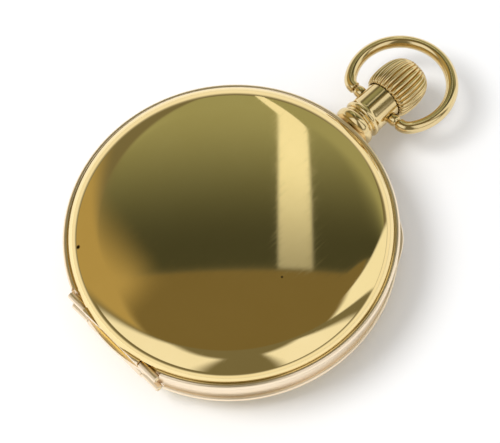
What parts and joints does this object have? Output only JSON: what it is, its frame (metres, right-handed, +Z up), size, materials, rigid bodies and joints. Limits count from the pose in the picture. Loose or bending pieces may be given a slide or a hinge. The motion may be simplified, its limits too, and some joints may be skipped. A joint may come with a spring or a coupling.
{
  "type": "hunter pocket watch",
  "caption": "Hunter pocket watch in a polished gold case: sprung front lid, hinged back and dust cover, fluted crown, swinging bow and a keyless lever movement.",
  "frame": {"origin": "middle of the flat on the back cover that the watch rests on, on the axis of the case", "axes": "+Z up out of the front lid, +X from the hinges to the pendant and crown, 12 o'clock at +Y"},
  "size_m": [0.071, 0.0504, 0.0133],
  "materials": {
    "gold_case": "polished yellow gold",
    "polished_steel": "polished",
    "blued_steel": "heat blued",
    "brass_wheels": "polished",
    "gilt_plates": "frosted gilt",
    "enamel": "glossy white enamel",
    "crystal_glass": "clear polished"
  },
  "bodies": {
    "case": {"case_band": "gold_case", "lid_hinge_pin": "gold_case", "back_hinge_pin": "gold_case", "bezel": "gold_case", "crystal": "crystal_glass", "pendant": "gold_case", "bow_boss_left": "gold_case", "bow_boss_right": "gold_case", "lift_spring": "polished_steel", "main_plate": "gilt_plates", "barrel_bridge": "gilt_plates", "train_bridge": "gilt_plates", "balance_cock": "gilt_plates", "pallet_cock": "gilt_plates", "crown_wheel_post": "polished_steel", "click_spring": "polished_steel", "click_screw": "polished_steel", "hairspring": "blued_steel", "dial": "enamel", "barrel_bridge_screw_1": "polished_steel", "barrel_bridge_screw_2": "polished_steel", "barrel_bridge_screw_3": "polished_steel", "train_bridge_screw_1": "polished_steel", "train_bridge_screw_2": "polished_steel", "balance_cock_screw": "polished_steel", "pallet_cock_screw": "polished_steel", "movement_screw_1": "polished_steel", "movement_screw_2": "polished_steel"},
    "front_lid": {"front_lid": "gold_case"},
    "back_cover": {"back_cover": "gold_case"},
    "cuvette": {"cuvette": "gold_case"},
    "bow": {"bow": "gold_case"},
    "winding_pinion": {"winding_pinion": "polished_steel"},
    "clutch": {"clutch": "polished_steel"},
    "winding_stem": {"winding_stem": "polished_steel"},
    "crown": {"crown": "gold_case"},
    "lock_spring": {"lock_spring": "polished_steel"},
    "crown_wheel": {"crown_wheel": "polished_steel"},
    "ratchet": {"ratchet_wheel": "polished_steel", "ratchet_screw": "blued_steel", "barrel_arbor": "polished_steel"},
    "click": {"click": "polished_steel"},
    "barrel": {"barrel": "brass_wheels", "barrel_cover": "brass_wheels", "mainspring": "blued_steel"},
    "centre_wheel": {"centre_wheel": "brass_wheels"},
    "third_wheel": {"third_wheel": "brass_wheels"},
    "fourth_wheel": {"fourth_wheel": "brass_wheels", "second_hand": "blued_steel"},
    "escape_wheel": {"escape_wheel": "polished_steel"},
    "pallet_fork": {"pallet_fork": "polished_steel"},
    "balance": {"balance_wheel": "brass_wheels"},
    "regulator": {"regulator": "polished_steel"},
    "cannon": {"cannon_pinion": "polished_steel", "minute_hand": "blued_steel"},
    "minute_wheel": {"minute_wheel": "brass_wheels"},
    "hour_wheel": {"hour_wheel": "brass_wheels", "hour_hand": "blued_steel"}
  },
  "joints": [
    {"name": "lid_hinge", "type": "hinge", "parent": "case", "child": "front_lid", "pos_m": [-0.0237, 0, 0.00836], "axis": [0, -1, 0], "range_deg": [0, 90]},
    {"name": "back_hinge", "type": "hinge", "parent": "case", "child": "back_cover", "pos_m": [-0.0237, 0, 0.00466], "axis": [0, 1, 0], "range_deg": [0, 90]},
    {"name": "cuvette_hinge", "type": "hinge", "parent": "case", "child": "cuvette", "pos_m": [-0.0237, 0, 0.00466], "axis": [0, 1, 0], "range_deg": [0, 45]},
    {"name": "bow_swing", "type": "hinge", "parent": "case", "child": "bow", "pos_m": [0.0317, 0, 0.00651], "axis": [0, -1, 0], "range_deg": [-110, 110]},
    {"name": "crown_turn", "type": "hinge", "parent": "case", "child": "winding_pinion", "pos_m": [0.01654, 0, 0.00651], "axis": [1, 0, 0], "continuous": true},
    {"name": "crown_pull", "type": "slide", "parent": "winding_pinion", "child": "winding_stem", "axis": [1, 0, 0], "range_m": [0, 0.0008]},
    {"name": "crown_press", "type": "slide", "parent": "winding_stem", "child": "crown", "axis": [1, 0, 0], "range_m": [-0.0006, 0], "stiffness_N_per_m": 200, "springref_m": 0.0005},
    {"name": "clutch_slide", "type": "slide", "parent": "winding_pinion", "child": "clutch", "axis": [-1, 0, 0], "range_m": [0, 0.0005]},
    {"name": "lock_spring_flex", "type": "hinge", "parent": "case", "child": "lock_spring", "pos_m": [0.00573, -0.02138, 0.00601], "axis": [0, 0, 1], "range_deg": [0, 1.3]},
    {"name": "crown_wheel_turn", "type": "hinge", "parent": "case", "child": "crown_wheel", "pos_m": [0.01344, 0, 0.0045], "axis": [0, 0, 1], "continuous": true},
    {"name": "ratchet_turn", "type": "hinge", "parent": "case", "child": "ratchet", "pos_m": [0.00396, 0.00686, 0.0045], "axis": [0, 0, 1], "continuous": true},
    {"name": "click_lift", "type": "hinge", "parent": "case", "child": "click", "pos_m": [-0.00392, 0.01141, 0.0045], "axis": [0, 0, 1], "range_deg": [0, 8], "stiffness_Nm_per_rad": 0.000001},
    {"name": "fourth_turn", "type": "hinge", "parent": "case", "child": "fourth_wheel", "pos_m": [0, -0.0095, 0.0045], "axis": [0, 0, 1], "continuous": true},
    {"name": "third_turn", "type": "hinge", "parent": "case", "child": "third_wheel", "pos_m": [0.00352, -0.00544, 0.0045], "axis": [0, 0, 1], "continuous": true},
    {"name": "centre_turn", "type": "hinge", "parent": "case", "child": "centre_wheel", "pos_m": [0, 0, 0.0045], "axis": [0, 0, 1], "continuous": true},
    {"name": "barrel_turn", "type": "hinge", "parent": "case", "child": "barrel", "pos_m": [0.00396, 0.00686, 0.0045], "axis": [0, 0, 1], "continuous": true},
    {"name": "escape_turn", "type": "hinge", "parent": "case", "child": "escape_wheel", "pos_m": [-0.00459, -0.009, 0.0045], "axis": [0, 0, 1], "continuous": true},
    {"name": "balance_swing", "type": "hinge", "parent": "case", "child": "balance", "pos_m": [-0.00914, -0.00368, 0.0045], "axis": [0, 0, 1], "range_deg": [-135, 135], "stiffness_Nm_per_rad": 0.000003},
    {"name": "pallet_swing", "type": "hinge", "parent": "case", "child": "pallet_fork", "pos_m": [-0.00635, -0.00695, 0.0045], "axis": [0, 0, 1], "range_deg": [-6, 6]},
    {"name": "regulator_turn", "type": "hinge", "parent": "case", "child": "regulator", "pos_m": [-0.00914, -0.00368, 0.0045], "axis": [0, 0, 1], "range_deg": [-15, 15]},
    {"name": "hand_setting", "type": "hinge", "parent": "case", "child": "cannon", "pos_m": [0, 0, 0.008], "axis": [0, 0, 1], "continuous": true},
    {"name": "minute_wheel_turn", "type": "hinge", "parent": "case", "child": "minute_wheel", "pos_m": [-0.00312, 0.0018, 0.008], "axis": [0, 0, 1], "continuous": true},
    {"name": "hour_turn", "type": "hinge", "parent": "case", "child": "hour_wheel", "pos_m": [0, 0, 0.008], "axis": [0, 0, 1], "continuous": true}
  ],
  "couplings": [
    {"joint": "cuvette_hinge", "follows": "back_hinge", "ratio": 0.5},
    {"joint": "clutch_slide", "follows": "crown_pull", "ratio": 0.625},
    {"joint": "lock_spring_flex", "follows": "crown_press", "rad_per_m": -34.9},
    {"joint": "crown_wheel_turn", "follows": "crown_turn", "ratio": 0.5},
    {"joint": "ratchet_turn", "follows": "crown_turn", "ratio": -0.34783},
    {"joint": "third_turn", "follows": "fourth_turn", "ratio": -0.13333},
    {"joint": "centre_turn", "follows": "fourth_turn", "ratio": 0.016667},
    {"joint": "barrel_turn", "follows": "fourth_turn", "ratio": -0.0020833},
    {"joint": "escape_turn", "follows": "fourth_turn", "ratio": -10},
    {"joint": "pallet_swing", "follows": "balance_swing", "ratio": -0.037},
    {"joint": "minute_wheel_turn", "follows": "hand_setting", "ratio": -0.33333},
    {"joint": "hour_turn", "follows": "hand_setting", "ratio": 0.083333}
  ]
}
